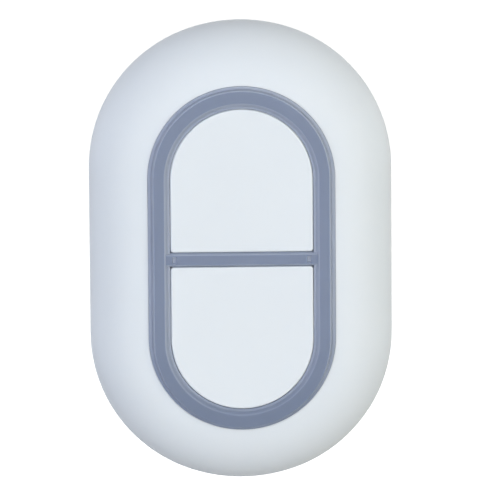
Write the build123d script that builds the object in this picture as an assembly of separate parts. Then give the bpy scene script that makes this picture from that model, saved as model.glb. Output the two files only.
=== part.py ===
"""Two-button panic transmitter: a white pebble-shaped housing with a blue-grey guard rim round its buttons.

Every piece is drawn with X across the device, Y along it and Z as the depth in front of the back plane.
The last step stands the device up: its front faces -Y, its length runs along Z, and the origin is the
middle of the flat back. Sizes are in millimetres.
"""

from build123d import *
import os
from math import atan2, cos, degrees, radians, sin, sqrt

# Overall shape
body_height = 64.0
body_width = 41.8
body_radius = body_width / 2
straight_length = body_height - body_width
end_centre = straight_length / 2

# The body's ends are fuller than half circles: two shoulder arcs run into a flatter cap arc
shoulder_inset = 0.6
cap_spread = 1.85
shoulder_radius = body_radius - shoulder_inset
cap_radius = shoulder_radius + cap_spread
cap_centre = body_height / 2 - cap_radius
cap_lead = sqrt(cap_spread**2 - shoulder_inset**2)
shoulder_centre = cap_centre + cap_lead
shoulder_angle = degrees(atan2(cap_lead, shoulder_inset))

# Clearances
fit_gap = 0.05
running_gap = 0.08
press_gap = 0.02
button_gap = 0.06
rim_gap = 0.02

# How far a cutter runs past what it cuts, and how far a piece runs into the one that carries it
cut_over = 1.0
join_depth = 0.2

# Cell, board, switch and button stand on one another, from the back towards the front
rear_wall = 1.8
boss_foot = rear_wall / 2
door_ring_thickness = 2.4
hub_face_rise = 0.2
cell_diameter = 20.0
cell_height = 3.2
contact_space = 0.85
board_thickness = 1.0
switch_body_height = 1.8
switch_cover_thickness = 0.2
stem_rise = 0.5
boot_crown_thickness = 0.6
plunger_length = 2.05
button_cap_thickness = 1.4
face_recess = 0.45
rim_rise = 1.2
front_wall = 1.8
rim_flange_thickness = 0.8
button_flange_thickness = 0.6
button_travel = 0.35

hub_face = door_ring_thickness + hub_face_rise
cell_base = hub_face + fit_gap
board_bottom = cell_base + cell_height + contact_space
board_top = board_bottom + board_thickness
switch_top = board_top + switch_body_height
switch_cover_top = switch_top + switch_cover_thickness
stem_top = switch_cover_top + stem_rise
boot_crown_low = stem_top + fit_gap
boot_crown_high = boot_crown_low + boot_crown_thickness
plunger_tip = boot_crown_high + fit_gap
cap_underside = plunger_tip + plunger_length
button_face = cap_underside + button_cap_thickness
rim_top = button_face + face_recess
crown_depth = rim_top - rim_rise
ledge_depth = crown_depth - front_wall
rim_bottom = ledge_depth - rim_flange_thickness
button_flange_high = rim_bottom - fit_gap
button_flange_low = button_flange_high - button_flange_thickness

# Housing outline, seen as radius against depth
crown_width = 8.0
crown_lead = 0.25
widest_depth = 6.2
back_rounding = 2.5
side_wall = 1.8
ledge_width = 2.3
floor_rounding = 2.3
parting_depth = 3.6
parting_groove = 0.15
aperture_edge_radius = 0.06
aperture_radius = body_radius - crown_width
crown_start = aperture_radius - crown_lead
inner_radius = body_radius - side_wall

# Locating lip and seal between the two shells
lip_gap = 0.16
lip_thickness = 0.8
lip_rise = 1.2
seal_inset = 1.3
seal_width = 0.6
seal_depth = 0.5

# Guard rim and bar
rim_outer_slope = 0.72
rim_top_width = 1.55
rim_inner_slope = 0.75
rim_end_growth = 0.3
rim_step_width = 0.42
rim_step_depth = 1.05
rim_step_fall = 0.1
rim_inner_step_width = 0.36
rim_inner_step_depth = 0.48
rim_edge_radius = 0.2
rim_step_radius = 0.1
rim_inner_edge_radius = 0.35
rim_inner_step_radius = 0.25
rim_flange_width = 2.1
boss_notch_gap = 0.2
bar_half_width = 0.97
bar_top_half_width = 0.69
bar_drop = 0.2
bar_slope_height = 0.5
bar_edge_radius = 0.12
bar_dimple_length = 0.66
bar_dimple_width = 0.95
bar_dimple_corner = 0.2
bar_dimple_depth = 0.3
bar_dimple_taper = 20.0
bar_dimple_inset = 0.25
stake_radius = 0.6
stake_head_radius = 1.0
stake_head_height = 0.35
stake_offset = 1.2
stake_side_place = 8.0
rim_outer_radius = aperture_radius - rim_gap
rim_inner_radius = rim_outer_radius - rim_outer_slope - rim_top_width - rim_inner_slope
bar_top = rim_top - bar_drop

# Buttons
button_wall = 1.3
button_edge_radius = 0.24
button_corner_radius = 0.42
button_flange_width = 0.9
button_flange_start = 3.0
plunger_radius = 1.6
rib_thickness = 0.9
rib_depth = 0.8
flange_root = 0.3
button_radius = rim_inner_radius - button_gap
button_flat = bar_half_width + button_gap
button_middle = (button_flat + end_centre + button_radius) / 2

# Tactile switches and their silicone boots
switch_size = 6.0
switch_stem_radius = 1.55
switch_stem_flange = 0.17
switch_leg_length = 0.7
switch_leg_width = 0.7
switch_leg_height = 0.15
switch_leg_pitch = 4.5
switch_floor = 0.3
switch_cover_overhang = 0.05
switch_cover_setback = 0.2
switch_flap_thickness = 0.2
switch_flap_clear = 0.5
stem_spare_travel = 0.2
stem_edge_radius = 0.15
boot_inner_radius = 4.5
boot_wall = 0.6
boot_foot_width = 1.1
boot_foot_height = 0.4
boot_web = 0.35
boot_crown_radius = 2.1
boot_crown_flare = 0.2
boot_crown_relief = 0.1
boot_shoulder = 0.35
boot_edge_radius = 0.15

# Cover screws, driven from the back
cover_screw_radius = 1.0
cover_screw_head_radius = 1.9
cover_screw_head_height = 1.15
cover_screw_length = 6.5
screw_head_recess = 0.25
screw_head_gap = 0.2
screw_hole_gap = 0.16
screw_pad_height = 0.8
screw_pad_margin = 1.0
cross_share = 0.6
boss_radius = 2.2
boss_side_gap = 0.88
boss_ring_radius = aperture_radius + boss_side_gap + boss_radius
boss_offset = boss_ring_radius * sqrt(0.5)
boss_rows = (-end_centre - boss_offset, end_centre + boss_offset)
screw_places = [(x, y) for x in (-boss_offset, boss_offset) for y in boss_rows]
screw_pad_top = rear_wall + screw_pad_height

# Circuit board and its screws
board_side_gap = 0.28
board_radius = aperture_radius + boss_side_gap - board_side_gap
board_post_radius = 2.2
board_screw_radius = 0.8
board_screw_head_radius = 1.6
board_screw_head_height = 1.1
board_screw_length = 4.0
board_screw_inset = 9.6
board_screw_place = end_centre + body_radius - board_screw_inset
screw_slot_width = 0.4
screw_slot_depth = 0.5

# Battery door: a flange outside, a hub through the wall round the cell and three bayonet tabs
cell_radius = cell_diameter / 2
holder_gap = 0.25
hub_wall = 1.05
door_side_gap = 0.2
door_ledge_width = 1.0
door_ring_width = 2.5
door_face_recess = 0.2
door_flange_thickness = 0.85
door_edge_radius = 0.2
door_seal_thickness = 0.35
door_seal_edge_gap = 0.1
tab_reach = 0.8
tab_thickness = 0.6
tab_angle = 30.0
tab_root = 0.3
tab_count = 3
notch_spare_angle = 4.0
door_turn = 30.0
mark_depth = 0.2
arrow_width = 1.8
arrow_length = 1.5
arrow_edge_gap = 0.7
lock_mark_angle = 90.0
lock_dot_radius = 0.45
open_ring_radius = 0.65
open_ring_width = 0.3
mark_door_gap = 1.2
coin_slot_length = 13.0
coin_slot_width = 1.8
coin_slot_depth = 0.8
hub_radius = cell_radius + holder_gap + hub_wall
door_hole_radius = hub_radius + door_side_gap
door_recess_radius = door_hole_radius + door_ledge_width
door_ring_radius = door_hole_radius + door_ring_width
door_y = -(board_screw_place - board_post_radius - door_ring_radius)
door_flange_inner = door_face_recess + door_flange_thickness
door_ledge = door_flange_inner + door_seal_thickness + fit_gap
tab_low = door_ring_thickness + fit_gap
tab_high = tab_low + tab_thickness

# Battery holder and contacts
cell_can_rounding = 0.3
cell_crimp_rounding = 0.2
cell_cap_rounding = 0.15
holder_wall = 1.25
holder_slot_half = 2.3
contact_thickness = 0.2
contact_width = 4.0
contact_foot = 2.4
leaf_half_length = 7.0
cell_cap_height = 0.4
cell_cap_inset = 1.3

# Inserts for an accessory, opening at the back plane
insert_outer_radius = 1.6
insert_bore_radius = 0.8
insert_length = 3.2
insert_groove_depth = 0.25
insert_groove_width = 0.64
insert_inset = 6.4
insert_boss_radius = 2.6
insert_cap = 0.7
insert_place = end_centre + body_radius - insert_inset

# Bare recess on the back, where a label would go
label_width = 16.0
label_depth = 0.3
label_corner = 1.5
label_corner_share = 0.45
label_share = 0.45
label_upper_share = 1 / 3

# Small parts on the board
chip_edge = 0.08
dimple_radius = 0.25
dimple_depth = 0.1
dimple_place_share = 0.32
controller_size = (5.0, 5.0, 0.9)
controller_place = (6.6, 0.8)
radio_size = (4.0, 4.0, 0.85)
radio_place = (-6.8, 1.2)
crystal_size = (3.2, 2.5, 0.7)
crystal_place = (-6.8, -3.4)
crystal_base_share = 0.4
crystal_lid_inset = 0.2
capacitor_size = (1.6, 0.8, 0.8)
capacitor_place = (5.6, -3.6)
capacitor_edge = 0.06
capacitor_rows = 3
capacitor_row_pitch = 1.3
capacitor_column_pitch = 2.4
antenna_margin = 0.5
antenna_thickness = 0.3
antenna_height = 2.0
antenna_low_end = -10.0
antenna_end_reach = 5.5
antenna_high_end = end_centre + antenna_end_reach
antenna_middle_gap = 2.0
lamp_size = (1.6, 1.0, 0.6)
lamp_edge = 0.1
pipe_radius = 0.7
pipe_reach = 1.2
pipe_gap = 0.2


def outline(*corners):
    """Face from corners given as radius, depth and, where the corner is rounded, its radius."""
    points = [(corner[0], corner[1]) for corner in corners]
    roundings = [corner[2] if len(corner) > 2 else 0.0 for corner in corners]
    return make_face(FilletPolyline(*points, radius=roundings, close=True))


def loop(profile):
    """Carry a profile of radius against depth once round the oblong."""
    section = Plane.XZ * profile
    side = extrude(Pos(0, -end_centre, 0) * section, straight_length, dir=(0, 1, 0))
    end = revolve(Pos(0, end_centre, 0) * section, Axis((0, end_centre, 0), (0, 0, 1)), 180)
    half = side + end
    return half + Rot(0, 0, 180) * half


def body_loop(profile):
    """Carry a profile of radius against depth once round the body's fuller outline."""
    section = Plane.XZ * profile
    side = extrude(Pos(0, -shoulder_centre, 0) * section, 2 * shoulder_centre, dir=(0, 1, 0))
    shoulder_axis = Axis((shoulder_inset, shoulder_centre, 0), (0, 0, 1))
    shoulder = revolve(Pos(0, shoulder_centre, 0) * section, shoulder_axis, shoulder_angle)
    cap_start = Pos(0, cap_centre, 0) * Rot(0, 0, shoulder_angle) * Pos(cap_radius - body_radius, 0, 0)
    cap = revolve(cap_start * section, Axis((0, cap_centre, 0), (0, 0, 1)), 180 - 2 * shoulder_angle)
    half = side + shoulder + cap + mirror(shoulder, about=Plane.YZ)
    return half + Rot(0, 0, 180) * half


def oblong(radius):
    """Flat oblong with the device's straight length."""
    return Rot(0, 0, 90) * SlotCenterToCenter(straight_length, 2 * radius)


def slab(radius, low, high):
    """Oblong plate between two depths."""
    return Pos(0, 0, low) * extrude(oblong(radius), high - low)


def disc(radius, low, high, x=0.0, y=0.0):
    """Round rod or hole between two depths."""
    return Pos(x, y, low) * extrude(Circle(radius), high - low)


def block(width, length, low, high, x=0.0, y=0.0):
    """Rectangular block between two depths."""
    return Pos(x, y, low) * extrude(Rectangle(width, length), high - low)


def turned(profile):
    """Piece turned about its own Z axis from a profile of radius against depth."""
    return revolve(Plane.XZ * profile, Axis.Z, 360)


def band(inner, outer, low, high):
    """Rectangular profile for a loop or a turned piece."""
    return outline((inner, low), (outer, low), (outer, high), (inner, high))


def cross_recess(radius, top, x, y, up=1):
    """Cross-shaped driver recess in a screw head whose face lies at the depth top."""
    bars = Rectangle(2 * radius, screw_slot_width) + Rectangle(screw_slot_width, 2 * radius)
    return Pos(x, y, top) * extrude(bars, -up * screw_slot_depth)


def pebble():
    """The closed outer form of the whole housing: a band round a plain core."""
    flat_radius = body_radius - back_rounding
    band_start = aperture_radius / 2
    back = Line((band_start, 0), (flat_radius, 0))
    rear = EllipticalCenterArc((flat_radius, widest_depth), back_rounding, widest_depth, 270, arc_size=90)
    crown_rise = crown_depth - widest_depth
    crown_run = body_radius - crown_start
    crown = EllipticalCenterArc((crown_start, widest_depth), crown_run, crown_rise, 0, arc_size=90)
    front = Line((crown_start, crown_depth), (band_start, crown_depth))
    inside = Line((band_start, crown_depth), (band_start, 0))
    core = slab(band_start + cap_spread, 0, crown_depth)
    return body_loop(make_face([back, rear, crown, front, inside])) + core


def cavity():
    """The hollow inside both shells."""
    ledge_radius = aperture_radius + ledge_width
    floor_radius = inner_radius - floor_rounding
    floor = Line((0, rear_wall), (floor_radius, rear_wall))
    floor_rise = widest_depth - rear_wall
    rear = EllipticalCenterArc((floor_radius, widest_depth), floor_rounding, floor_rise, 270, arc_size=90)
    crown_rise = ledge_depth - widest_depth
    crown_run = inner_radius - ledge_radius
    crown = EllipticalCenterArc((ledge_radius, widest_depth), crown_run, crown_rise, 0, arc_size=90)
    ledge = Line((ledge_radius, ledge_depth), (0, ledge_depth))
    axis = Line((0, ledge_depth), (0, rear_wall))
    return loop(make_face([floor, rear, crown, ledge, axis]))


def outer_radius_at(depth):
    """Radius of the housing's outside behind its widest line."""
    share = (widest_depth - depth) / widest_depth
    return body_radius - back_rounding + back_rounding * sqrt(1 - share**2)


def inner_radius_at(depth):
    """Radius of the hollow behind the widest line."""
    share = (widest_depth - depth) / (widest_depth - rear_wall)
    return inner_radius - floor_rounding + floor_rounding * sqrt(1 - share**2)


def groove_round_parting():
    """Fine V groove where the two shells meet."""
    edge = outer_radius_at(parting_depth)
    return body_loop(
        outline(
            (edge - parting_groove, parting_depth),
            (edge + parting_groove, parting_depth + 2 * parting_groove),
            (edge + parting_groove, parting_depth - 2 * parting_groove),
        )
    )


def stake_places():
    """Six places where the front cover is staked through the rim's flange."""
    reach = aperture_radius + stake_offset
    sides = [(x, y) for x in (-reach, reach) for y in (-stake_side_place, stake_side_place)]
    return sides + [(0, end_centre + reach), (0, -end_centre - reach)]


def front_cover(form, hollow):
    """Domed front shell with screw bosses and stakes."""
    shell = form - hollow
    shell -= block(2 * body_width, 2 * body_height, -cut_over, parting_depth)
    shell -= slab(aperture_radius, 0, crown_depth + cut_over)
    edge = outline(
        (aperture_radius - cut_over, crown_depth - aperture_edge_radius),
        (aperture_radius, crown_depth - aperture_edge_radius),
        (aperture_radius + aperture_edge_radius, crown_depth),
        (aperture_radius + aperture_edge_radius, crown_depth + cut_over),
        (aperture_radius - cut_over, crown_depth + cut_over),
    )
    rounding = outline(
        (aperture_radius, crown_depth - 2 * aperture_edge_radius),
        (aperture_radius, crown_depth, aperture_edge_radius),
        (aperture_radius + 2 * aperture_edge_radius, crown_depth),
        (aperture_radius + 2 * aperture_edge_radius, crown_depth - 2 * aperture_edge_radius),
    )
    shell -= loop(edge - rounding)
    for x, y in screw_places:
        shell += (disc(boss_radius, screw_pad_top, crown_depth, x, y) & form) - seal_channel()
    for x, y in stake_places():
        shell += disc(stake_radius, rim_bottom - stake_head_height, ledge_depth, x, y)
        shell += disc(stake_head_radius, rim_bottom - stake_head_height, rim_bottom, x, y)
    hole_top = screw_head_recess + cover_screw_head_height + cover_screw_length + fit_gap
    for x, y in screw_places:
        shell -= disc(cover_screw_radius + press_gap, 0, hole_top, x, y)
    return shell - groove_round_parting()


def rear_cover(form, hollow):
    """Rear shell with its lip, posts, pads and battery opening."""
    shell = form - hollow
    shell -= block(2 * body_width, 2 * body_height, parting_depth, crown_depth + cut_over)
    lip_outer = inner_radius_at(parting_depth) - lip_gap
    shell += loop(band(lip_outer - lip_thickness, lip_outer, boss_foot, parting_depth + lip_rise))
    for x, y in screw_places:
        shell -= disc(boss_radius + lip_gap, screw_pad_top, crown_depth, x, y)
        shell += disc(boss_radius + screw_pad_margin, boss_foot, screw_pad_top, x, y) & form
    for y in (-board_screw_place, board_screw_place):
        shell += disc(board_post_radius, boss_foot, board_bottom, 0, y)
    for y in (-insert_place, insert_place):
        shell += disc(insert_boss_radius, boss_foot, insert_length + insert_cap, 0, y)
    shell += disc(door_ring_radius, boss_foot, door_ring_thickness, 0, door_y)
    shell -= disc(door_recess_radius, -cut_over, door_ledge, 0, door_y)
    shell -= disc(door_hole_radius, -cut_over, door_ring_thickness + cut_over, 0, door_y)
    shell -= bayonet_notches()
    seat = screw_head_recess + cover_screw_head_height
    for x, y in screw_places:
        shell -= disc(cover_screw_head_radius + screw_head_gap, -cut_over, seat, x, y)
        shell -= disc(cover_screw_radius + screw_hole_gap, -cut_over, screw_pad_top + cut_over, x, y)
    for y in (-board_screw_place, board_screw_place):
        low = board_top - board_screw_length - fit_gap
        shell -= disc(board_screw_radius + press_gap, low, board_bottom + cut_over, 0, y)
    for y in (-insert_place, insert_place):
        shell -= disc(insert_outer_radius + press_gap, -cut_over, insert_length + press_gap, 0, y)
    shell -= seal_channel()
    return shell - label_recess() - turning_marks() - groove_round_parting()


def seal_channel():
    """Room for the seal between the two shells, open towards the front."""
    outer = outer_radius_at(parting_depth) - seal_inset + seal_width
    low = parting_depth - seal_depth
    return loop(band(outer - seal_width - fit_gap, outer + fit_gap, low, parting_depth + cut_over))


def turning_marks():
    """Dot for the locked place of the door's arrow and ring for its open place."""
    reach = door_recess_radius + mark_door_gap
    dot, ring = [
        Pos(reach * cos(radians(angle)), door_y + reach * sin(radians(angle)), 0)
        for angle in (lock_mark_angle, lock_mark_angle - door_turn)
    ]
    open_ring = Circle(open_ring_radius) - Circle(open_ring_radius - open_ring_width)
    return dot * extrude(Circle(lock_dot_radius), mark_depth) + ring * extrude(open_ring, mark_depth)


def label_recess():
    """Shallow bare recess between the door and the upper insert."""
    low = door_y + door_recess_radius
    high = insert_place - insert_outer_radius
    length = label_share * (high - low)
    corner = min(label_corner, label_corner_share * length)
    middle = high - (high - low - length) * label_upper_share - length / 2
    return Pos(0, middle, 0) * extrude(RectangleRounded(label_width, length, corner), label_depth)


def sector(inner, outer, low, high, middle_angle, spread):
    """Piece of a ring about the battery door's axis."""
    start = radians(middle_angle - spread / 2)
    stop = radians(middle_angle + spread / 2)
    half = radians(middle_angle)
    inner_ends = [(inner * cos(a), inner * sin(a)) for a in (start, half, stop)]
    outer_ends = [(outer * cos(a), outer * sin(a)) for a in (start, half, stop)]
    face = make_face(
        [
            ThreePointArc(*outer_ends),
            Line(outer_ends[2], inner_ends[2]),
            ThreePointArc(*reversed(inner_ends)),
            Line(inner_ends[0], outer_ends[0]),
        ]
    )
    return Pos(0, door_y, low) * extrude(face, high - low)


def tab_middles():
    """Angles of the bayonet tabs with the door locked."""
    return [90 + 360 * number / tab_count for number in range(tab_count)]


def bayonet_notches():
    """Notches that let the tabs in when the door is turned open."""
    reach = hub_radius + tab_reach + door_side_gap
    spread = tab_angle + notch_spare_angle
    low = door_ledge - cut_over
    high = door_ring_thickness + cut_over
    notches = [sector(hub_radius, reach, low, high, angle - door_turn, spread) for angle in tab_middles()]
    return notches[0] + notches[1:]


def battery_door():
    """Round door with a coin slot and bayonet tabs."""
    flange_radius = door_recess_radius - door_side_gap
    hub_ring_inner = cell_radius + holder_gap
    door = turned(
        outline(
            (0, door_face_recess),
            (flange_radius, door_face_recess, door_edge_radius),
            (flange_radius, door_flange_inner),
            (hub_radius, door_flange_inner),
            (hub_radius, tab_high),
            (hub_ring_inner, tab_high),
            (hub_ring_inner, hub_face),
            (0, hub_face),
        )
    )
    door = Pos(0, door_y, 0) * door
    for angle in tab_middles():
        door += sector(hub_radius - tab_root, hub_radius + tab_reach, tab_low, tab_high, angle, tab_angle)
    slot = Rot(0, 0, 90) * SlotOverall(coin_slot_length, coin_slot_width)
    door -= Pos(0, door_y, 0) * extrude(slot, door_face_recess + coin_slot_depth)
    tip = flange_radius - arrow_edge_gap
    foot = tip - arrow_length
    arrow = make_face(Polyline((tip, 0), (foot, arrow_width / 2), (foot, -arrow_width / 2), close=True))
    return door - Pos(0, door_y, 0) * Rot(0, 0, lock_mark_angle) * extrude(arrow, door_face_recess + mark_depth)


def door_seal():
    """Flat gasket between the door's flange and the ledge."""
    inner = hub_radius + fit_gap
    outer = door_recess_radius - door_side_gap - door_seal_edge_gap
    ring = turned(band(inner, outer, door_flange_inner, door_flange_inner + door_seal_thickness))
    return Pos(0, door_y, 0) * ring


def coin_cell():
    """Lithium coin cell, its stepped negative side towards the board."""
    step = cell_height - cell_cap_height
    cap_radius = cell_radius - cell_cap_inset
    cell = turned(
        outline(
            (0, cell_base),
            (cell_radius, cell_base, cell_can_rounding),
            (cell_radius, cell_base + step, cell_crimp_rounding),
            (cap_radius, cell_base + step),
            (cap_radius, cell_base + cell_height, cell_cap_rounding),
            (0, cell_base + cell_height),
        )
    )
    return Pos(0, door_y, 0) * cell


def battery_holder():
    """Ring under the board that centres the cell, open where the side contact passes."""
    inner = cell_radius + holder_gap
    ring = turned(band(inner, inner + holder_wall, tab_high + door_side_gap, board_bottom))
    slot_x = inner + holder_wall / 2
    slot = block(2 * holder_wall, 2 * holder_slot_half, tab_high, board_bottom + cut_over, slot_x)
    return Pos(0, door_y, 0) * (ring - slot)


def positive_contact():
    """Strip up the cell's side with a foot under the board."""
    start = cell_radius + fit_gap
    low = cell_base + cell_height / 3
    strip = block(contact_thickness, contact_width, low, board_bottom, start + contact_thickness / 2)
    foot_low = board_bottom - contact_thickness
    foot = block(contact_foot, contact_width, foot_low, board_bottom, start + contact_foot / 2)
    return Pos(0, door_y, 0) * (strip + foot)


def negative_contact():
    """Bowed leaf between the board and the cell."""
    end_low = board_bottom - contact_thickness
    bow_low = cell_base + cell_height + fit_gap
    bow_high = bow_low + contact_thickness
    reach = leaf_half_length
    under = ThreePointArc((-reach, end_low), (0, bow_low), (reach, end_low))
    over = ThreePointArc((reach, board_bottom), (0, bow_high), (-reach, board_bottom))
    right = Line((reach, end_low), (reach, board_bottom))
    left = Line((-reach, board_bottom), (-reach, end_low))
    leaf = extrude(Plane.XZ * make_face([under, right, over, left]), contact_width / 2, both=True)
    return Pos(0, door_y, 0) * leaf


def cover_seal():
    """Cord in the groove between the two shells."""
    outer = outer_radius_at(parting_depth) - seal_inset + seal_width
    low = parting_depth - seal_depth
    return loop(band(outer - seal_width, outer, low, parting_depth - press_gap))


def cover_screws():
    """Four screws from the back into the front cover's bosses."""
    screws = []
    head_top = screw_head_recess + cover_screw_head_height
    for x, y in screw_places:
        head = disc(cover_screw_head_radius, screw_head_recess, head_top, x, y)
        shank = disc(cover_screw_radius, head_top, head_top + cover_screw_length, x, y)
        recess = cross_recess(cross_share * cover_screw_head_radius, screw_head_recess, x, y, -1)
        screws.append(head + shank - recess)
    return screws


def accessory_inserts():
    """Two grooved brass inserts that open at the back plane."""
    groove_low = (insert_length - insert_groove_width) / 2
    groove_high = groove_low + insert_groove_width
    waist = insert_outer_radius - insert_groove_depth
    insert = turned(
        outline(
            (insert_bore_radius, 0),
            (insert_outer_radius, 0),
            (insert_outer_radius, groove_low),
            (waist, groove_low),
            (waist, groove_high),
            (insert_outer_radius, groove_high),
            (insert_outer_radius, insert_length),
            (insert_bore_radius, insert_length),
        )
    )
    return [Pos(0, y, 0) * insert for y in (-insert_place, insert_place)]


def circuit_board():
    """Board on the rear cover's two posts."""
    board = slab(board_radius, board_bottom, board_top)
    for y in (-board_screw_place, board_screw_place):
        board -= disc(board_screw_radius + running_gap, board_bottom - cut_over, board_top + cut_over, 0, y)
    return board


def board_screws():
    """Two screws through the board into the posts."""
    screws = []
    head_top = board_top + board_screw_head_height
    for y in (-board_screw_place, board_screw_place):
        head = disc(board_screw_head_radius, board_top, head_top, 0, y)
        shank = disc(board_screw_radius, board_top - board_screw_length, board_top, 0, y)
        screws.append(head + shank - cross_recess(cross_share * board_screw_head_radius, head_top, 0, y))
    return screws


def guard_rim():
    """Raised rim with a flange under the front cover and a bar between the buttons."""
    outer_top = rim_outer_radius - rim_outer_slope
    inner_top = outer_top - rim_top_width
    middle = (outer_top + inner_top) / 2
    step_depth = rim_top - rim_step_depth
    inner_step_depth = rim_top - rim_inner_step_depth
    rim = loop(
        outline(
            (rim_inner_radius, rim_bottom),
            (aperture_radius + rim_flange_width, rim_bottom),
            (aperture_radius + rim_flange_width, ledge_depth),
            (rim_outer_radius, ledge_depth),
            (rim_outer_radius, step_depth - rim_step_fall, rim_step_radius / 2),
            (middle, step_depth),
            (middle, rim_top),
            (inner_top, rim_top, rim_inner_edge_radius),
            (rim_inner_radius + rim_inner_step_width, inner_step_depth, rim_inner_step_radius),
            (rim_inner_radius, inner_step_depth - rim_step_fall / 2, rim_step_radius / 2),
        )
    )
    rim += outer_half(outer_top, step_depth - join_depth) - slab(middle, rim_bottom, rim_top + cut_over)
    rim += cross_bar()
    low = rim_bottom - cut_over
    high = ledge_depth + cut_over
    for x, y in screw_places:
        rim -= disc(boss_radius + boss_notch_gap, low, high, x, y)
    for x, y in stake_places():
        rim -= disc(stake_radius + fit_gap, low, high, x, y)
    return rim - disc(pipe_radius + press_gap, low, rim_bottom + pipe_reach)


def outer_half(top_radius, low):
    """Plug with the outer slope of the rim's raised part, steeper at the ends than at the sides."""
    foot = Pos(0, 0, low) * oblong(rim_outer_radius - rim_step_width)
    long_slot = SlotCenterToCenter(straight_length + 2 * rim_end_growth, 2 * top_radius)
    plug = loft([foot, Pos(0, 0, rim_top) * Rot(0, 0, 90) * long_slot], ruled=True)
    return fillet(plug.faces().sort_by(Axis.Z)[-1].edges(), rim_edge_radius)


def cross_bar():
    """Bar between the buttons, a little lower than the rim, with a small dimple at each end."""
    reach = rim_inner_radius + rim_inner_slope
    slope_foot = bar_top - bar_slope_height
    section = outline(
        (-bar_half_width, rim_bottom),
        (bar_half_width, rim_bottom),
        (bar_half_width, slope_foot, bar_edge_radius),
        (bar_top_half_width, bar_top, bar_edge_radius),
        (-bar_top_half_width, bar_top, bar_edge_radius),
        (-bar_half_width, slope_foot, bar_edge_radius),
    )
    bar = extrude(Plane.YZ * section, reach, both=True)
    dimple_x = rim_inner_radius - bar_dimple_inset - bar_dimple_length / 2
    dimple_outline = RectangleRounded(bar_dimple_length, bar_dimple_width, bar_dimple_corner)
    for x in (-dimple_x, dimple_x):
        bar -= extrude(Pos(x, 0, bar_top) * dimple_outline, -bar_dimple_depth, taper=bar_dimple_taper)
    return bar


def above(start):
    """Everything beyond a line across the device."""
    return block(2 * body_width, body_height, -cut_over, rim_top + cut_over, 0, start + body_height / 2)


def button():
    """Upper push button: a hollow half oblong with a plunger, ribs and a retaining flange."""
    cap = slab(button_radius, button_flange_low, button_face) & above(button_flat)
    upright = [edge for edge in cap.edges().filter_by(Axis.Z) if edge.center().Y < button_flat + press_gap]
    cap = fillet(upright, button_corner_radius)
    cap = fillet(cap.faces().sort_by(Axis.Z)[-1].edges(), button_edge_radius)
    hollow_half = above(button_flat + button_wall)
    cap -= slab(button_radius - button_wall, button_flange_low - cut_over, cap_underside) & hollow_half
    flange_outer = button_radius + button_flange_width
    flange = band(button_radius - flange_root, flange_outer, button_flange_low, button_flange_high)
    cap += loop(flange) & above(button_flange_start)
    rib_low = cap_underside - rib_depth
    rib_high = cap_underside + join_depth
    inside = slab(button_radius - button_wall / 2, rib_low, rib_high) & hollow_half
    cross = block(2 * button_radius, rib_thickness, rib_low, rib_high, 0, button_middle)
    cross += block(rib_thickness, body_height, rib_low, rib_high, 0, button_middle)
    cap += cross & inside
    return cap + disc(plunger_radius, plunger_tip, rib_high, 0, button_middle)


def switch_body():
    """Body of a tactile switch with its well and four legs."""
    well_radius = switch_stem_radius + switch_stem_flange + fit_gap
    body = block(switch_size, switch_size, board_top, switch_top)
    leg_x = (switch_size + switch_leg_length) / 2
    leg_y = switch_leg_pitch / 2
    leg_high = board_top + switch_leg_height
    for x in (-leg_x, leg_x):
        for y in (-leg_y, leg_y):
            body += block(switch_leg_length, switch_leg_width, board_top, leg_high, x, y)
    return body - disc(well_radius, board_top + switch_floor, switch_top + cut_over)


def switch_cover():
    """Metal plate over the switch, with two side flaps."""
    width = switch_size + 2 * switch_cover_overhang
    length = switch_size - 2 * switch_cover_setback
    plate = block(width, length, switch_top, switch_cover_top)
    flap_x = (width + switch_flap_thickness) / 2
    flap_low = board_top + switch_flap_clear
    for x in (-flap_x, flap_x):
        plate += block(switch_flap_thickness, switch_size / 2, flap_low, switch_cover_top, x)
    return plate - disc(switch_stem_radius + fit_gap, switch_top - cut_over, switch_cover_top + cut_over)


def switch_stem():
    """Stem of the switch, held in by its flange."""
    low = board_top + switch_floor + button_travel + stem_spare_travel
    flange_top = switch_top - fit_gap
    return turned(
        outline(
            (0, low),
            (switch_stem_radius + switch_stem_flange, low),
            (switch_stem_radius + switch_stem_flange, flange_top),
            (switch_stem_radius, flange_top),
            (switch_stem_radius, stem_top, stem_edge_radius),
            (0, stem_top),
        )
    )


def switch_boot():
    """Silicone boot round the switch, with a crown between the stem and the plunger."""
    outer = boot_inner_radius + boot_wall
    wall_top = switch_cover_top + boot_shoulder - boot_web / 2
    web_top = wall_top + boot_web
    return turned(
        outline(
            (boot_inner_radius, board_top),
            (boot_inner_radius + boot_foot_width, board_top),
            (boot_inner_radius + boot_foot_width, board_top + boot_foot_height),
            (outer, board_top + boot_foot_height),
            (outer, wall_top, boot_edge_radius),
            (boot_crown_radius + boot_crown_flare, web_top),
            (boot_crown_radius, boot_crown_high, boot_edge_radius),
            (0, boot_crown_high),
            (0, boot_crown_low),
            (boot_crown_radius - boot_crown_relief, boot_crown_low),
            (boot_inner_radius, wall_top - boot_web / 2),
        )
    )


def chip(size, place):
    """Flat package on the board with a pin-one dimple."""
    width, length, height = size
    top = board_top + height
    body = block(width, length, board_top, top, *place)
    body = chamfer(body.faces().sort_by(Axis.Z)[-1].edges(), chip_edge)
    dimple_x = place[0] - width * dimple_place_share
    dimple_y = place[1] + length * dimple_place_share
    return body - disc(dimple_radius, top - dimple_depth, top + cut_over, dimple_x, dimple_y)


def crystal():
    """Metal-lidded crystal."""
    width, length, height = crystal_size
    base_top = board_top + crystal_base_share * height
    inset = 2 * crystal_lid_inset
    base = block(width, length, board_top, base_top, *crystal_place)
    lid = block(width - inset, length - inset, base_top, board_top + height, *crystal_place)
    return base + lid


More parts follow.
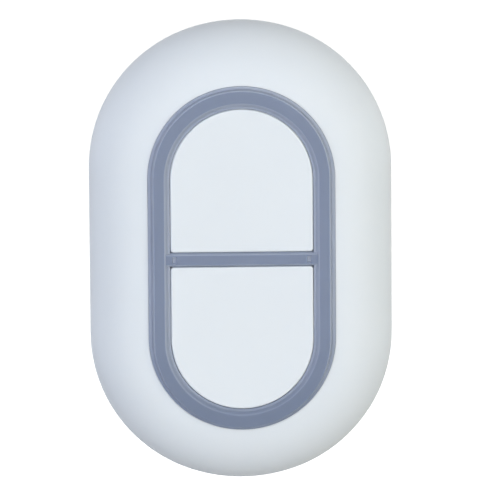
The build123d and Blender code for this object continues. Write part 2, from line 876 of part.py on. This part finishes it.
def chip_capacitors():
    """Six chip capacitors in two columns."""
    width, length, height = capacitor_size
    body = block(width, length, board_top, board_top + height)
    body = chamfer(body.edges().filter_by(Axis.Y), capacitor_edge)
    columns = [capacitor_place[0], capacitor_place[0] + capacitor_column_pitch]
    rows = [capacitor_place[1] - step * capacitor_row_pitch for step in range(capacitor_rows)]
    return [Pos(x, y, 0) * body for x in columns for y in rows]


def antenna():
    """Stamped strip on edge along one side of the board."""
    outer = board_radius - antenna_margin
    strip = loop(band(outer - antenna_thickness, outer, board_top, board_top + antenna_height))
    length = antenna_high_end - antenna_low_end
    side_x = -body_radius / 2 - antenna_middle_gap
    middle_y = antenna_low_end + length / 2
    return strip & block(body_radius, length, board_top - cut_over, rim_top, side_x, middle_y)


def status_led():
    """Lamp on the board under the bar."""
    width, length, height = lamp_size
    lamp = block(width, length, board_top, board_top + height)
    return chamfer(lamp.edges().filter_by(Axis.Z), lamp_edge)


def light_pipe():
    """Clear rod from the lamp into the bar."""
    return disc(pipe_radius, board_top + lamp_size[2] + pipe_gap, rim_bottom + pipe_reach - press_gap)


def placed(shape, way):
    """Switch piece moved under the upper (way 1) or lower (way -1) button."""
    return Pos(0, way * button_middle, 0) * shape


def write(name, shapes):
    """Stand a piece up, front to -Y, and write it."""
    group = shapes if isinstance(shapes, list) else [shapes]
    standing = [Rot(90, 0, 0) * shape for shape in group]
    solids = [solid for shape in standing for solid in shape.solids()]
    whole = solids[0] if len(solids) == 1 else Compound(children=solids)
    export_step(whole, f"parts/{name}.step")


os.makedirs("parts", exist_ok=True)

housing_form = pebble()
housing_hollow = cavity()
upper_cap = button()

write("front_cover", front_cover(housing_form, housing_hollow))
write("rear_cover", rear_cover(housing_form, housing_hollow))
write("cover_seal", cover_seal())
write("cover_screws", cover_screws())
write("accessory_inserts", accessory_inserts())
write("guard_rim", guard_rim())
write("upper_button", upper_cap)
write("lower_button", Rot(0, 0, 180) * upper_cap)
for side_name, way in (("upper", 1), ("lower", -1)):
    write(f"{side_name}_switch_body", placed(switch_body(), way))
    write(f"{side_name}_switch_cover", placed(switch_cover(), way))
    write(f"{side_name}_switch_stem", placed(switch_stem(), way))
    write(f"{side_name}_switch_boot", placed(switch_boot(), way))
write("circuit_board", circuit_board())
write("board_screws", board_screws())
write("controller_chip", chip(controller_size, controller_place))
write("radio_chip", chip(radio_size, radio_place))
write("crystal", crystal())
write("chip_capacitors", chip_capacitors())
write("antenna", antenna())
write("status_led", status_led())
write("light_pipe", light_pipe())
write("battery_holder", battery_holder())
write("positive_contact", positive_contact())
write("negative_contact", negative_contact())
write("coin_cell", coin_cell())
write("battery_door", battery_door())
write("door_seal", door_seal())
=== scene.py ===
"""Looks of the two-button panic transmitter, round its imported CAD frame."""

import math

import bpy
from mathutils import Matrix, Vector


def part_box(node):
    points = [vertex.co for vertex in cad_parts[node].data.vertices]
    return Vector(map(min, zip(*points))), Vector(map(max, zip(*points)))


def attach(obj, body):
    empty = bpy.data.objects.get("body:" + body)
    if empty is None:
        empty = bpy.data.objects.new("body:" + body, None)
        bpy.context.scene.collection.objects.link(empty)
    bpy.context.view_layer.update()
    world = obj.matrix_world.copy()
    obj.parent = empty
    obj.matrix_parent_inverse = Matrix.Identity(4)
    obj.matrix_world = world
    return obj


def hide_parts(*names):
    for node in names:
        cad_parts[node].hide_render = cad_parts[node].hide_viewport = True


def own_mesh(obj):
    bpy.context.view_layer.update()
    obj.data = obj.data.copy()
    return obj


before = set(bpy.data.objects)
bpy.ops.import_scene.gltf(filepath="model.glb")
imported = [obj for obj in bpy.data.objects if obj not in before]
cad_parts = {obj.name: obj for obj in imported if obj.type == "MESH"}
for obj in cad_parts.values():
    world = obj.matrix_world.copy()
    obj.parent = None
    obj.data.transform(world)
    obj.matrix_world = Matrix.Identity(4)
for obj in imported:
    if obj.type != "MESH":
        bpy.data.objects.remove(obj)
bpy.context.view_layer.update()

# Lengths are in metres, unless their names end in MM or PX
MM = 0.001

# The photograph's frame, where the middle of the rim's opening lies in it, and its scale
IMAGE_SIZE_PX = 500
RIM_MIDDLE_PX = (241.84, 258.64)
PX_PER_MM = 7.275

# The camera, with its angles in degrees
CAMERA_DISTANCE = 1.1
CAMERA_REACH = 50.0
CAMERA_AZIMUTH = -1.25
CAMERA_ELEVATION = 10.28
CAMERA_ROLL = 0.40
SENSOR_MM = 36.0

# The floor below the hanging transmitter. Its glow is for the camera, reflections and glass alone.
FLOOR_DROP = 0.30
FLOOR_HALF = 8.0
FLOOR_COLOUR = (0.34, 0.35, 0.36, 1.0)
FLOOR_GLOW = 0.95

# Soft lamps that face the transmitter, with a warm one in front at the right and cooler ones at the left
# and the top, as in the photograph: place, width, height, power in watts and colour
LAMPS = {
    "front_lamp": ((0.0, -1.6, 0.0), 1.0, 1.0, 5.9, (1.0, 1.0, 1.0)),
    "front_right_lamp": ((0.85, -1.35, 0.0), 1.6, 0.7, 11.0, (1.0, 0.92, 0.715)),
    "front_left_lamp": ((-0.85, -1.35, 0.0), 1.6, 0.7, 7.3, (0.78, 0.815, 1.0)),
    "front_top_lamp": ((0.0, -1.35, 0.85), 0.7, 0.7, 2.0, (0.45, 0.62, 1.0)),
    "side_right_lamp": ((1.45, 0.65, 0.0), 1.0, 1.0, 4.0, (0.80, 0.90, 1.0)),
    "side_left_lamp": ((-1.45, 0.65, 0.0), 1.0, 1.0, 5.0, (0.89, 0.92, 1.0)),
    "back_right_lamp": ((0.45, 1.55, 0.3), 0.7, 0.4, 6.0, (1.0, 0.99, 0.97)),
    "back_left_lamp": ((-0.4, 1.55, 0.3), 0.7, 0.4, 3.4, (1.0, 0.99, 0.97)),
}
# Lamps that no surface mirrors, since their glint would burn out the housing's edge seen from the front
UNMIRRORED_LAMPS = ("back_right_lamp", "back_left_lamp")
DOME_STRENGTH = 0.42
BACKDROP_STRENGTH = 1.0
WHITE_LIGHT = (1.0, 1.0, 1.0, 1.0)

# White plastic of the shells and the buttons, and how far light spreads in it
WHITE_PLASTIC = (0.775, 0.825, 0.868)
WHITE_SCATTER_MM = 0.22

# The rim's colours: flat top, flat top in painted shade at the lower end, painted light on slopes and ledges,
# and on the outer ledge
RIM_PLASTIC = (0.199, 0.252, 0.370)
RIM_LOW_PAINTED_SHADE = (0.160, 0.211, 0.321)
RIM_FLANK_PAINTED_LIGHT = (0.365, 0.415, 0.520)
RIM_OUTER_LEDGE_PAINTED_LIGHT = (0.395, 0.447, 0.557)
RIM_WANDER = 0.01

# How strongly the painted light shows on slopes and ledges, above and where the lower end's painted shade is
# full
RIM_PAINTED_LIGHT_SHARE = 0.85
RIM_LOW_PAINTED_LIGHT_SHARE = 0.36

# Depths below the rim's top where the ledges' painted light starts and is full, and the same for the outer
# ledge's stronger painted light
RIM_LEDGE_LIGHT_START_MM = 0.25
RIM_LEDGE_LIGHT_FULL_MM = 0.42
RIM_OUTER_LEDGE_START_MM = 0.75
RIM_OUTER_LEDGE_FULL_MM = 0.95

# How squarely a surface faces the front (1 is square on) where the painted light on slopes and rounded edges
# starts and where it is full
RIM_SLOPE_LIGHT_START = 0.985
RIM_SLOPE_LIGHT_FULL = 0.93

# Distances below the middle where the lower end's painted shade starts and where it is full
RIM_LOW_SHADE_START_MM = 9.0
RIM_LOW_SHADE_FULL_MM = 21.0

# Noise in the finishes: waves in a metre, detail, and the part of its range that is used
CLOUD_WAVES = 90.0
CLOUD_DETAIL = 3.0
GRAIN_DETAIL = 2.0
METAL_GRAIN_DETAIL = 4.0
NOISE_LOW = 0.3
NOISE_HIGH = 0.7

# What all plastics and all metals share
PLASTIC_WANDER = 0.006
PLASTIC_ROUGHNESS_WANDER = 0.04
PLASTIC_IOR = 1.46
METAL_WANDER = 0.04
METAL_ROUGHNESS_WANDER = 0.06
METAL_GRAIN_MM = 0.002

# The light pipe's clear plastic and its haze
CLEAR_PLASTIC = (0.92, 0.95, 0.97, 1.0)
CLEAR_IOR = 1.49
HAZE_WAVES = 3000.0
HAZE_ROUGHNESS = 0.085
HAZE_ROUGHNESS_WANDER = 0.035


def new_node(owner, kind, inputs=None):
    """Node in the tree of a material or a world, with some of its inputs set."""
    node = owner.node_tree.nodes.new(kind)
    for name, value in (inputs or {}).items():
        node.inputs[name].default_value = value
    return node


def join(owner, output, into):
    """Link from one node's output into another's input."""
    owner.node_tree.links.new(output, into)


def start_tree(owner):
    """Empty node tree for a material or a world."""
    owner.use_nodes = True
    owner.node_tree.nodes.clear()


def principled(material):
    """The one Principled shader of a material."""
    return material.node_tree.nodes["Principled BSDF"]


def new_material(name, inputs):
    """Material of one Principled shader, with some of its inputs set."""
    material = bpy.data.materials.new(name)
    start_tree(material)
    shader = new_node(material, "ShaderNodeBsdfPrincipled", inputs)
    output = new_node(material, "ShaderNodeOutputMaterial")
    join(material, shader.outputs["BSDF"], output.inputs["Surface"])
    return material


def object_noise(material, waves, detail):
    """Noise in the object's own coordinates, with its size given as waves in a metre."""
    place = new_node(material, "ShaderNodeTexCoord")
    noise = new_node(material, "ShaderNodeTexNoise", {"Scale": waves, "Detail": detail})
    join(material, place.outputs["Object"], noise.inputs["Vector"])
    return noise.outputs["Fac"]


def ranged(owner, value, low, high, low_result=0.0, high_result=1.0):
    """Value carried from one range to another and held at its ends."""
    ends = {"From Min": low, "From Max": high, "To Min": low_result, "To Max": high_result}
    mapper = new_node(owner, "ShaderNodeMapRange", ends)
    join(owner, value, mapper.inputs["Value"])
    return mapper.outputs["Result"]


def combined(owner, operation, first, second):
    """Two values put together by one operation."""
    node = new_node(owner, "ShaderNodeMath")
    node.operation = operation
    join(owner, first, node.inputs[0])
    join(owner, second, node.inputs[1])
    return node.outputs[0]


def mixed(material, share, first, second):
    """Colour between two others."""
    node = new_node(material, "ShaderNodeMix")
    node.data_type = "RGBA"
    join(material, first, node.inputs["A"])
    join(material, second, node.inputs["B"])
    join(material, share, node.inputs["Factor"])
    return node.outputs["Result"]


def wandering(material, noise, colour, spread):
    """Colour that wanders a little about its mean."""
    ramp = new_node(material, "ShaderNodeValToRGB")
    low, high = ramp.color_ramp.elements
    low.color = (*(value * (1 - spread) for value in colour), 1)
    low.position = NOISE_LOW
    high.color = (*(value * (1 + spread) for value in colour), 1)
    high.position = NOISE_HIGH
    join(material, noise, ramp.inputs["Fac"])
    return ramp.outputs["Color"]


def set_colour(material, colour):
    """Base colour from a node's output."""
    join(material, colour, principled(material).inputs["Base Color"])


def set_roughness(material, noise, mean, wander):
    """Roughness that follows a noise round its mean."""
    roughness = ranged(material, noise, NOISE_LOW, NOISE_HIGH, mean - wander, mean + wander)
    join(material, roughness, principled(material).inputs["Roughness"])


def add_bump(material, noise, height_mm):
    """Bump of a real height from a noise."""
    bump = new_node(material, "ShaderNodeBump", {"Strength": 1.0, "Distance": height_mm * MM})
    join(material, noise, bump.inputs["Height"])
    join(material, bump.outputs["Normal"], principled(material).inputs["Normal"])


def plastic(
    name, colour, roughness, grain_waves, grain_mm, wander=PLASTIC_WANDER, scatter=0.0, scatter_mm=0.5
):
    """Moulded plastic with faint clouds and a fine grain, in which light may spread."""
    inputs = {
        "IOR": PLASTIC_IOR,
        "Subsurface Weight": scatter,
        "Subsurface Radius": (1.0, 1.0, 1.0),
        "Subsurface Scale": scatter_mm * MM,
    }
    material = new_material(name, inputs)
    clouds = object_noise(material, CLOUD_WAVES, CLOUD_DETAIL)
    set_colour(material, wandering(material, clouds, colour, wander))
    grain = object_noise(material, grain_waves, GRAIN_DETAIL)
    set_roughness(material, grain, roughness, PLASTIC_ROUGHNESS_WANDER)
    add_bump(material, grain, grain_mm)
    return material


def metal(name, colour, roughness, grain_waves):
    """Metal with a fine unevenness."""
    material = new_material(name, {"Metallic": 1.0})
    grain = object_noise(material, grain_waves, METAL_GRAIN_DETAIL)
    set_colour(material, wandering(material, grain, colour, METAL_WANDER))
    set_roughness(material, grain, roughness, METAL_ROUGHNESS_WANDER)
    add_bump(material, grain, METAL_GRAIN_MM)
    return material


def housing_white():
    """Satin white plastic of the shells and the battery door."""
    return plastic(
        "housing_white", WHITE_PLASTIC, roughness=0.5, grain_waves=9000.0, grain_mm=0.004,
        scatter=1.0, scatter_mm=WHITE_SCATTER_MM,
    )


def button_white():
    """White plastic of the buttons, a little smoother than the shells."""
    return plastic(
        "button_white", WHITE_PLASTIC, roughness=0.45, grain_waves=9000.0, grain_mm=0.003,
        scatter=1.0, scatter_mm=WHITE_SCATTER_MM,
    )


def rim_grey():
    """Translucent plastic of the rim, with painted light on its slopes, rounded edges and ledges, and painted
    shade towards its lower end.
    """
    rim = plastic(
        "rim_grey", RIM_PLASTIC, roughness=0.4, grain_waves=7000.0, grain_mm=0.003,
        wander=RIM_WANDER, scatter=1.0, scatter_mm=0.5,
    )
    coordinates = new_node(rim, "ShaderNodeTexCoord")
    place = new_node(rim, "ShaderNodeSeparateXYZ")
    facing = new_node(rim, "ShaderNodeSeparateXYZ")
    join(rim, coordinates.outputs["Object"], place.inputs["Vector"])
    join(rim, coordinates.outputs["Normal"], facing.inputs["Vector"])
    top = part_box("guard_rim")[0][1]

    def deeper(start_mm, full_mm):
        """From 0 to 1 over a range of depths below the rim's top."""
        return ranged(rim, place.outputs["Y"], top + start_mm * MM, top + full_mm * MM)

    # Painted light: slopes, rounded edges and ledges turn paler, standing for light through the thin
    # translucent plastic and highlights on the edges
    slope = ranged(rim, facing.outputs["Y"], -RIM_SLOPE_LIGHT_START, -RIM_SLOPE_LIGHT_FULL)
    level = ranged(rim, facing.outputs["Y"], -RIM_SLOPE_LIGHT_START, -RIM_SLOPE_LIGHT_FULL, 1.0, 0.0)
    ledge = deeper(RIM_LEDGE_LIGHT_START_MM, RIM_LEDGE_LIGHT_FULL_MM)
    # Stronger painted light on the outer ledge, lifting the ridge's shadow there
    outer_ledge_light = combined(rim, "MULTIPLY", level, deeper(RIM_OUTER_LEDGE_START_MM, RIM_OUTER_LEDGE_FULL_MM))
    # Painted shade: the lower end turns darker and its painted light weaker
    low_end_shade = ranged(rim, place.outputs["Z"], -RIM_LOW_SHADE_START_MM * MM, -RIM_LOW_SHADE_FULL_MM * MM)
    painted_light_strength = ranged(rim, low_end_shade, 0.0, 1.0, RIM_PAINTED_LIGHT_SHARE, RIM_LOW_PAINTED_LIGHT_SHARE)
    painted_light = combined(rim, "MULTIPLY", combined(rim, "MAXIMUM", ledge, slope), painted_light_strength)

    clouds = object_noise(rim, CLOUD_WAVES, CLOUD_DETAIL)
    upper = principled(rim).inputs["Base Color"].links[0].from_socket
    lower = wandering(rim, clouds, RIM_LOW_PAINTED_SHADE, RIM_WANDER)
    flank_painted_light = wandering(rim, clouds, RIM_FLANK_PAINTED_LIGHT, RIM_WANDER)
    outer = wandering(rim, clouds, RIM_OUTER_LEDGE_PAINTED_LIGHT, RIM_WANDER)
    flat = mixed(rim, low_end_shade, upper, lower)
    set_colour(rim, mixed(rim, painted_light, flat, mixed(rim, outer_ledge_light, flank_painted_light, outer)))
    return rim


def seal_rubber():
    """Matte black rubber of the two seals."""
    return plastic("seal_rubber", (0.05, 0.05, 0.055), roughness=0.7, grain_waves=5000.0, grain_mm=0.006)


def silicone():
    """Cloudy silicone of the boots over the switches."""
    return plastic(
        "silicone", (0.70, 0.72, 0.73), roughness=0.55, grain_waves=6000.0, grain_mm=0.004,
        wander=0.01, scatter=0.4, scatter_mm=1.0,
    )


def screw_steel():
    """Zinc-plated steel of the screws."""
    return metal("screw_steel", (0.54, 0.54, 0.55), roughness=0.36, grain_waves=4000.0)


def insert_brass():
    """Turned brass of the threaded inserts."""
    return metal("insert_brass", (0.78, 0.58, 0.28), roughness=0.30, grain_waves=5000.0)


def cell_steel():
    """Nickel-plated can of the coin cell."""
    return metal("cell_steel", (0.72, 0.72, 0.73), roughness=0.22, grain_waves=3000.0)


def spring_strip():
    """Nickel-plated strip of the contacts, the antenna, the switches' covers and the crystal's can."""
    return metal("spring_strip", (0.72, 0.70, 0.66), roughness=0.28, grain_waves=6000.0)


def black_plastic():
    """Black moulded plastic of the inner pieces."""
    return plastic(
        "black_plastic", (0.03, 0.03, 0.032), roughness=0.5, grain_waves=7000.0, grain_mm=0.004, wander=0.05
    )


def board_green():
    """Green solder mask of the circuit board, a little uneven."""
    return plastic(
        "board_green", (0.025, 0.17, 0.085), roughness=0.35, grain_waves=2500.0, grain_mm=0.004, wander=0.08
    )


def capacitor_tan():
    """Ceramic of the chip capacitors."""
    return plastic(
        "capacitor_tan", (0.42, 0.31, 0.20), roughness=0.45, grain_waves=6000.0, grain_mm=0.003, wander=0.05
    )


def lamp_clear():
    """Cast resin of the status lamp."""
    return plastic(
        "lamp_clear", (0.84, 0.83, 0.70), roughness=0.25, grain_waves=4000.0, grain_mm=0.002,
        wander=0.02, scatter=0.5, scatter_mm=0.5,
    )


def clear_plastic():
    """Polished clear plastic of the light pipe, with a slight haze."""
    inputs = {"Base Color": CLEAR_PLASTIC, "Transmission Weight": 1.0, "IOR": CLEAR_IOR}
    clear = new_material("clear_plastic", inputs)
    haze = object_noise(clear, HAZE_WAVES, GRAIN_DETAIL)
    set_roughness(clear, haze, HAZE_ROUGHNESS, HAZE_ROUGHNESS_WANDER)
    return clear


# Every finish and the nodes that have it
FINISHES = {
    housing_white: ("front_cover", "rear_cover", "battery_door"),
    button_white: ("upper_button", "lower_button"),
    rim_grey: ("guard_rim",),
    seal_rubber: ("cover_seal", "door_seal"),
    silicone: ("upper_switch_boot", "lower_switch_boot"),
    screw_steel: ("cover_screws", "board_screws"),
    insert_brass: ("accessory_inserts",),
    cell_steel: ("coin_cell",),
    spring_strip: (
        "positive_contact", "negative_contact", "antenna", "crystal",
        "upper_switch_cover", "lower_switch_cover",
    ),
    black_plastic: (
        "battery_holder", "controller_chip", "radio_chip",
        "upper_switch_body", "lower_switch_body",
        "upper_switch_stem", "lower_switch_stem",
    ),
    board_green: ("circuit_board",),
    capacitor_tan: ("chip_capacitors",),
    lamp_clear: ("status_led",),
    clear_plastic: ("light_pipe",),
}


def finishes():
    """Every node's material."""
    for finish, nodes in FINISHES.items():
        material = finish()
        for node in nodes:
            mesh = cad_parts[node].data
            mesh.materials.clear()
            mesh.materials.append(material)


def flexing_boots():
    """Silicone boots copied from the imported ones and held by the housing in their place."""
    for side in ("upper", "lower"):
        node = f"{side}_switch_boot"
        boot = bpy.data.objects.new(f"{side}_boot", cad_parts[node].data.copy())
        bpy.context.scene.collection.objects.link(boot)
        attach(boot, "housing")
        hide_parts(node)
        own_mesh(boot)


def camera():
    """Camera at the photograph's place."""
    azimuth = math.radians(CAMERA_AZIMUTH)
    elevation = math.radians(CAMERA_ELEVATION)
    roll = math.radians(CAMERA_ROLL)
    level = math.cos(elevation)
    towards = Vector((math.sin(azimuth) * level, -math.cos(azimuth) * level, math.sin(elevation)))
    level_right = Vector((math.cos(azimuth), math.sin(azimuth), 0))
    level_up = towards.cross(level_right)
    right = level_right * math.cos(roll) - level_up * math.sin(roll)
    up = level_up * math.cos(roll) + level_right * math.sin(roll)

    rim_middle = Vector((0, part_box("front_cover")[0][1], 0))
    metres_per_px = MM / PX_PER_MM
    across = (IMAGE_SIZE_PX / 2 - RIM_MIDDLE_PX[0]) * metres_per_px
    above = (RIM_MIDDLE_PX[1] - IMAGE_SIZE_PX / 2) * metres_per_px
    aim = rim_middle + right * across + up * above

    data = bpy.data.cameras.new("camera")
    data.sensor_width = SENSOR_MM
    data.lens = SENSOR_MM * CAMERA_DISTANCE / (IMAGE_SIZE_PX * metres_per_px)
    data.clip_end = CAMERA_REACH
    eye = bpy.data.objects.new("camera", data)
    bpy.context.scene.collection.objects.link(eye)
    turn = Matrix((right, up, towards)).transposed().to_4x4()
    eye.matrix_world = Matrix.Translation(aim + towards * CAMERA_DISTANCE) @ turn
    bpy.context.scene.camera = eye


def seen_or_reflected(owner):
    """1 for a ray from the camera, a glossy one or one through glass, else 0."""
    path = new_node(owner, "ShaderNodeLightPath")
    seen = combined(owner, "MAXIMUM", path.outputs["Is Camera Ray"], path.outputs["Is Glossy Ray"])
    return combined(owner, "MAXIMUM", seen, path.outputs["Is Transmission Ray"])


def floor():
    """Pale floor below the hanging transmitter."""
    bpy.ops.mesh.primitive_plane_add(size=2 * FLOOR_HALF, location=(0, 0, -FLOOR_DROP))
    plane = bpy.context.object
    plane.name = "floor"
    material = bpy.data.materials.new("floor_white")
    start_tree(material)
    diffuse = new_node(material, "ShaderNodeBsdfDiffuse", {"Color": FLOOR_COLOUR})
    glow = new_node(material, "ShaderNodeEmission", {"Color": WHITE_LIGHT})
    strength = ranged(material, seen_or_reflected(material), 0.0, 1.0, 0.0, FLOOR_GLOW)
    both = new_node(material, "ShaderNodeAddShader")
    output = new_node(material, "ShaderNodeOutputMaterial")
    join(material, strength, glow.inputs["Strength"])
    join(material, diffuse.outputs[0], both.inputs[0])
    join(material, glow.outputs[0], both.inputs[1])
    join(material, both.outputs[0], output.inputs["Surface"])
    plane.data.materials.append(material)


def surroundings():
    """Even light all round, and a white backdrop for the camera, reflections and glass."""
    world = bpy.data.worlds.new("studio")
    start_tree(world)
    dome = new_node(world, "ShaderNodeBackground", {"Color": WHITE_LIGHT, "Strength": DOME_STRENGTH})
    backdrop = new_node(world, "ShaderNodeBackground", {"Color": WHITE_LIGHT, "Strength": BACKDROP_STRENGTH})
    mix = new_node(world, "ShaderNodeMixShader")
    output = new_node(world, "ShaderNodeOutputWorld")
    join(world, seen_or_reflected(world), mix.inputs["Fac"])
    join(world, dome.outputs[0], mix.inputs[1])
    join(world, backdrop.outputs[0], mix.inputs[2])
    join(world, mix.outputs[0], output.inputs["Surface"])
    bpy.context.scene.world = world


def lamps():
    """Soft oblong lamps that face the transmitter, warmer and stronger from the right."""
    for name, (place, width, height, power, colour) in LAMPS.items():
        data = bpy.data.lights.new(name, "AREA")
        data.shape = "RECTANGLE"
        data.size = width
        data.size_y = height
        data.energy = power
        data.color = colour
        lamp = bpy.data.objects.new(name, data)
        lamp.location = place
        lamp.rotation_euler = (-Vector(place)).to_track_quat("-Z", "Y").to_euler()
        lamp.visible_glossy = name not in UNMIRRORED_LAMPS
        bpy.context.scene.collection.objects.link(lamp)


camera()
floor()
surroundings()
lamps()
finishes()
flexing_boots()
bpy.context.scene.view_settings.view_transform = "Standard"
